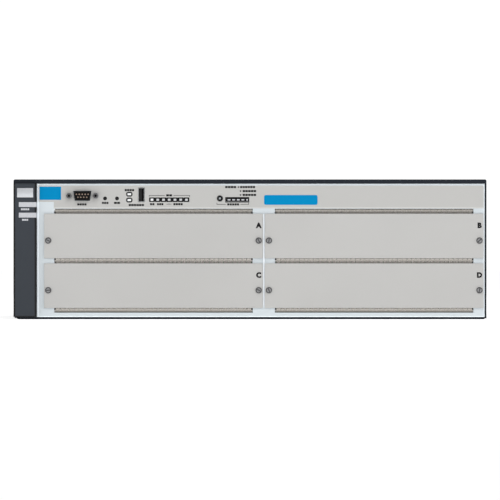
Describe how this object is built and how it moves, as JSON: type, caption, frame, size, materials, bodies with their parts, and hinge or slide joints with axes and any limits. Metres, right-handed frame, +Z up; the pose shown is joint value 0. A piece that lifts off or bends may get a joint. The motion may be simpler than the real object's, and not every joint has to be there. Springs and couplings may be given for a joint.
{
  "type": "modular chassis switch",
  "caption": "rack-mount modular network switch chassis with blanked module slots, a management strip, side fans and a plug-in power supply",
  "frame": {"origin": "centre of the base pan's underside", "axes": "+X to the right as seen from the front, +Y from the front panel back into the chassis, +Z up"},
  "size_m": [0.4444, 0.4278, 0.1315],
  "materials": {
    "dark_steel": "dark blue-black textured paint on steel",
    "panel_paint": "pale blue-grey paint on folded steel",
    "bezel_plastic": "dark grey fine-textured moulding",
    "light_plastic": "clear to milky light pipe moulding",
    "film": "warm grey printed film",
    "plate_paint": "warm grey fine-textured paint on steel",
    "screw_steel": "bright zinc-plated screw",
    "plated_steel": "tin-plated connector shell",
    "contact_gold": "gold-flashed contact",
    "black_plastic": "black glass-filled moulding",
    "grey_plastic": "grey moulded button",
    "zinc_steel": "bright zinc-coated sheet steel",
    "finger_copper": "tin-plated beryllium copper",
    "green_board": "green solder mask on glass laminate"
  },
  "bodies": {
    "chassis": {"backplane": "green_board", "backplane_brackets": "zinc_steel", "base_pan": "dark_steel", "cage_left_wall": "zinc_steel", "cage_right_wall": "zinc_steel", "centre_divider": "zinc_steel", "console_jackscrews": "plated_steel", "console_port_insert": "black_plastic", "console_port_pins": "contact_gold", "console_port_shell": "plated_steel", "control_board": "green_board", "fan_frame_front": "black_plastic", "fan_frame_middle": "black_plastic", "fan_frame_rear": "black_plastic", "fault_light_pipe": "light_plastic", "finger_strips": "finger_copper", "front_panel": "panel_paint", "left_bezel": "bezel_plastic", "lower_card_rails": "black_plastic", "management_film": "film", "mid_shelf_left": "zinc_steel", "mid_shelf_right": "zinc_steel", "mode_light_window": "light_plastic", "outer_cover": "dark_steel", "power_light_pipe": "light_plastic", "psu_blank_plate": "zinc_steel", "rear_panel": "zinc_steel", "rear_screws": "screw_steel", "self_test_lights": "light_plastic", "slot_ceiling": "zinc_steel", "slot_floor": "zinc_steel", "status_lights": "light_plastic", "upper_card_rails": "black_plastic", "usb_port_shell": "plated_steel", "usb_port_tongue": "black_plastic"},
    "reset_button": {"reset_button": "black_plastic"},
    "clear_button": {"clear_button": "black_plastic"},
    "light_mode_button": {"light_mode_button": "grey_plastic"},
    "fan_rotor_front": {"fan_rotor_front": "black_plastic"},
    "fan_rotor_middle": {"fan_rotor_middle": "black_plastic"},
    "fan_rotor_rear": {"fan_rotor_rear": "black_plastic"},
    "plate_a": {"blank_plate_a": "plate_paint"},
    "screw_a_left": {"plate_screw_a_left": "screw_steel"},
    "screw_a_right": {"plate_screw_a_right": "screw_steel"},
    "plate_b": {"blank_plate_b": "plate_paint"},
    "screw_b_left": {"plate_screw_b_left": "screw_steel"},
    "screw_b_right": {"plate_screw_b_right": "screw_steel"},
    "plate_c": {"blank_plate_c": "plate_paint"},
    "screw_c_left": {"plate_screw_c_left": "screw_steel"},
    "screw_c_right": {"plate_screw_c_right": "screw_steel"},
    "plate_d": {"blank_plate_d": "plate_paint"},
    "screw_d_left": {"plate_screw_d_left": "screw_steel"},
    "screw_d_right": {"plate_screw_d_right": "screw_steel"},
    "power_supply": {"psu_case": "zinc_steel", "psu_fan_frame": "black_plastic", "psu_inlet": "black_plastic", "psu_handle": "black_plastic"},
    "psu_fan_rotor": {"psu_fan_rotor": "black_plastic"},
    "psu_screw_left": {"psu_screw_left": "screw_steel"},
    "psu_screw_right": {"psu_screw_right": "screw_steel"}
  },
  "joints": [
    {"name": "reset_button_press", "type": "slide", "parent": "chassis", "child": "reset_button", "axis": [0, 1, 0], "range_m": [0, 0.0012], "stiffness_N_per_m": 400, "springref_m": -0.0015},
    {"name": "clear_button_press", "type": "slide", "parent": "chassis", "child": "clear_button", "axis": [0, 1, 0], "range_m": [0, 0.0012], "stiffness_N_per_m": 400, "springref_m": -0.0015},
    {"name": "light_mode_button_press", "type": "slide", "parent": "chassis", "child": "light_mode_button", "axis": [0, 1, 0], "range_m": [0, 0.0012], "stiffness_N_per_m": 400, "springref_m": -0.0015},
    {"name": "fan_front_spin", "type": "hinge", "parent": "chassis", "child": "fan_rotor_front", "pos_m": [-0.1859, -0.1334, 0.051], "axis": [1, 0, 0], "continuous": true},
    {"name": "fan_middle_spin", "type": "hinge", "parent": "chassis", "child": "fan_rotor_middle", "pos_m": [-0.1859, -0.0374, 0.051], "axis": [1, 0, 0], "continuous": true},
    {"name": "fan_rear_spin", "type": "hinge", "parent": "chassis", "child": "fan_rotor_rear", "pos_m": [-0.1859, 0.0586, 0.051], "axis": [1, 0, 0], "continuous": true},
    {"name": "plate_a_slide", "type": "slide", "parent": "chassis", "child": "plate_a", "axis": [0, -1, 0], "range_m": [0, 0.08]},
    {"name": "screw_a_left_turn", "type": "hinge", "parent": "plate_a", "child": "screw_a_left", "pos_m": [-0.1896, -0.2009, 0.07405], "axis": [0, 1, 0], "continuous": true},
    {"name": "screw_a_right_turn", "type": "hinge", "parent": "plate_a", "child": "screw_a_right", "pos_m": [0.0082, -0.2009, 0.07405], "axis": [0, 1, 0], "continuous": true},
    {"name": "plate_b_slide", "type": "slide", "parent": "chassis", "child": "plate_b", "axis": [0, -1, 0], "range_m": [0, 0.08]},
    {"name": "screw_b_left_turn", "type": "hinge", "parent": "plate_b", "child": "screw_b_left", "pos_m": [0.0178, -0.2009, 0.07405], "axis": [0, 1, 0], "continuous": true},
    {"name": "screw_b_right_turn", "type": "hinge", "parent": "plate_b", "child": "screw_b_right", "pos_m": [0.2156, -0.2009, 0.07405], "axis": [0, 1, 0], "continuous": true},
    {"name": "plate_c_slide", "type": "slide", "parent": "chassis", "child": "plate_c", "axis": [0, -1, 0], "range_m": [0, 0.08]},
    {"name": "screw_c_left_turn", "type": "hinge", "parent": "plate_c", "child": "screw_c_left", "pos_m": [-0.1896, -0.2009, 0.02735], "axis": [0, 1, 0], "continuous": true},
    {"name": "screw_c_right_turn", "type": "hinge", "parent": "plate_c", "child": "screw_c_right", "pos_m": [0.0082, -0.2009, 0.02735], "axis": [0, 1, 0], "continuous": true},
    {"name": "plate_d_slide", "type": "slide", "parent": "chassis", "child": "plate_d", "axis": [0, -1, 0], "range_m": [0, 0.08]},
    {"name": "screw_d_left_turn", "type": "hinge", "parent": "plate_d", "child": "screw_d_left", "pos_m": [0.0178, -0.2009, 0.02735], "axis": [0, 1, 0], "continuous": true},
    {"name": "screw_d_right_turn", "type": "hinge", "parent": "plate_d", "child": "screw_d_right", "pos_m": [0.2156, -0.2009, 0.02735], "axis": [0, 1, 0], "continuous": true},
    {"name": "power_supply_slide", "type": "slide", "parent": "chassis", "child": "power_supply", "axis": [0, 1, 0], "range_m": [0, 0.12]},
    {"name": "psu_fan_spin", "type": "hinge", "parent": "power_supply", "child": "psu_fan_rotor", "pos_m": [-0.1359, 0.1991, 0.0475], "axis": [0, 1, 0], "continuous": true},
    {"name": "psu_screw_left_turn", "type": "hinge", "parent": "power_supply", "child": "psu_screw_left", "pos_m": [-0.18815, 0.2006, 0.0475], "axis": [0, 1, 0], "continuous": true},
    {"name": "psu_screw_right_turn", "type": "hinge", "parent": "power_supply", "child": "psu_screw_right", "pos_m": [0.00835, 0.2006, 0.0475], "axis": [0, 1, 0], "continuous": true}
  ]
}
